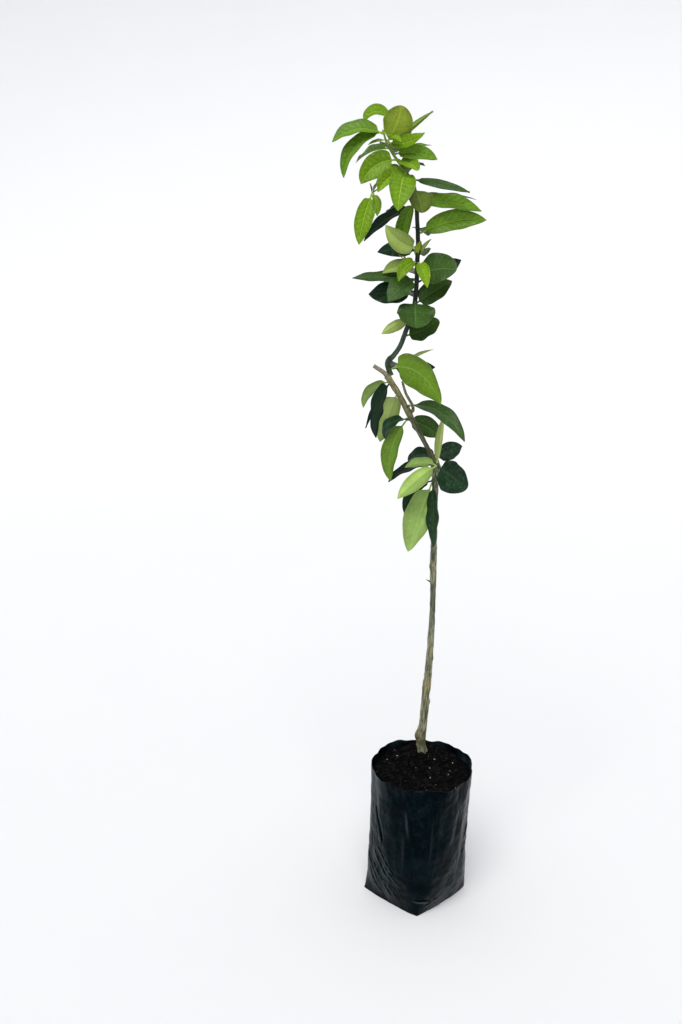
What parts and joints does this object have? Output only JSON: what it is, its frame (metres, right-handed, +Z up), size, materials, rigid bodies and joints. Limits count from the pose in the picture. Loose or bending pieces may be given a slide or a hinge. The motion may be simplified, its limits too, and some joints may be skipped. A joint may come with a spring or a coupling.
{
  "type": "potted lime sapling",
  "caption": "Slender grafted lime sapling with one leaning stem, a narrow crown of oval leaves and a filled round-mouthed grow bag.",
  "frame": {"origin": "middle of the grow bag's flat underside", "axes": "+Z up the tree, -Y towards the side that the picture shows, +X to that side's right"},
  "size_m": [0.2071, 0.1767, 1.1351],
  "materials": {
    "grow_bag": "black polythene film, wrinkled, low sheen",
    "potting_mix": "moist composted bark with chips and perlite",
    "trunk": "smooth olive-grey bark with pale streaks",
    "cut_stub": "dry grey bark, cut end",
    "side_shoot": "pale green-brown bark",
    "leader": "dark green young bark",
    "foliage_tip": "bright young leaves, slightly glossy",
    "foliage_shoulder": "mid green leaves, slightly glossy",
    "foliage_upper": "mid and young leaves, slightly glossy",
    "foliage_middle": "dark glossy leaves",
    "foliage_lower": "dark glossy leaves",
    "foliage_fork_right": "mature leaves, dark above and pale green beneath",
    "foliage_fork_left": "mature leaves, dark above and pale green beneath",
    "foliage_fork_back": "mature leaves, dark above and pale green beneath",
    "foliage_bend_right": "mature leaves, dark above and pale green beneath",
    "foliage_bend_left": "mature leaves, dark above and pale green beneath",
    "foliage_bend_back": "mature leaves, dark above and pale green beneath",
    "foliage_knob_front": "mature leaves, dark above and pale green beneath",
    "foliage_knob_back": "mature leaves, dark above and pale green beneath",
    "foliage_hanging": "mature leaves, dark above and pale green beneath"
  },
  "bodies": {
    "root": {"grow_bag": "grow_bag", "potting_mix": "potting_mix", "trunk": "trunk", "cut_stub": "cut_stub", "side_shoot": "side_shoot", "leader": "leader", "foliage_tip": "foliage_tip", "foliage_shoulder": "foliage_shoulder", "foliage_upper": "foliage_upper", "foliage_middle": "foliage_middle", "foliage_lower": "foliage_lower", "foliage_fork_right": "foliage_fork_right", "foliage_fork_left": "foliage_fork_left", "foliage_fork_back": "foliage_fork_back", "foliage_bend_right": "foliage_bend_right", "foliage_bend_left": "foliage_bend_left", "foliage_bend_back": "foliage_bend_back", "foliage_knob_front": "foliage_knob_front", "foliage_knob_back": "foliage_knob_back", "foliage_hanging": "foliage_hanging"}
  },
  "joints": []
}
